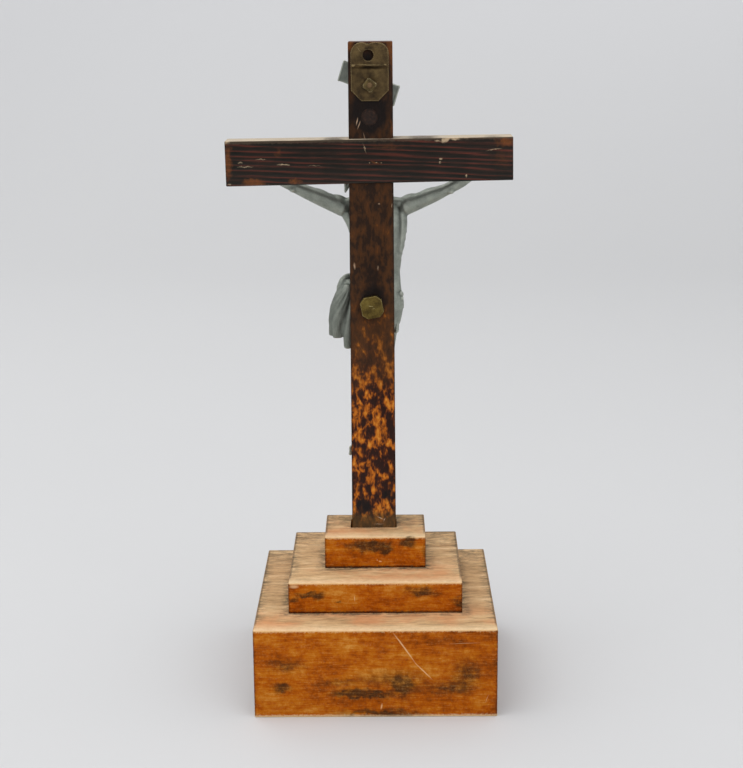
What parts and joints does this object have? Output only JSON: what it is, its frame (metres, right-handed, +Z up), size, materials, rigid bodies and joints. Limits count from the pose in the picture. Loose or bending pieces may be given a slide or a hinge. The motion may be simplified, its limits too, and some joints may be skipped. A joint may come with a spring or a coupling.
{
  "type": "table crucifix",
  "caption": "Wooden table crucifix with a cast figure and scroll, a back hanger plate, and a stepped square base that the cross lifts out of.",
  "frame": {"origin": "centre of the lower step's underside", "axes": "+Z up the post; the figure faces -Y and the hanger plate is on the back, towards +Y; +X is the figure's left"},
  "size_m": [0.1505, 0.127, 0.3444],
  "materials": {
    "varnished_wood": "orange-brown varnish, worn pale on the tops and edges",
    "mottled_wood": "dark varnish mottled with orange",
    "dark_wood": "near-black stain with fine grain",
    "grey_metal": "dull grey cast white metal",
    "aged_brass": "aged, brown-tarnished",
    "copper_stud": "coppery, oxidised",
    "steel_screw": "dull"
  },
  "bodies": {
    "stand": {"lower_step_block": "varnished_wood", "lower_step_front_strip": "varnished_wood", "middle_step": "varnished_wood", "top_step": "varnished_wood", "step_screws": "steel_screw"},
    "cross": {"upright_post": "mottled_wood", "crossbar": "dark_wood", "lap_joint_screw": "steel_screw", "post_plug": "mottled_wood", "hanger_plate": "aged_brass", "titulus_nut": "aged_brass", "titulus_stud": "copper_stud", "titulus_scroll": "grey_metal", "corpus": "grey_metal", "corpus_stud": "copper_stud", "corpus_nut": "aged_brass", "hand_nails": "grey_metal", "foot_nail": "grey_metal"}
  },
  "joints": [
    {"name": "cross_lift", "type": "slide", "parent": "stand", "child": "cross", "axis": [0, 0, 1], "range_m": [0, 0.04]}
  ]
}
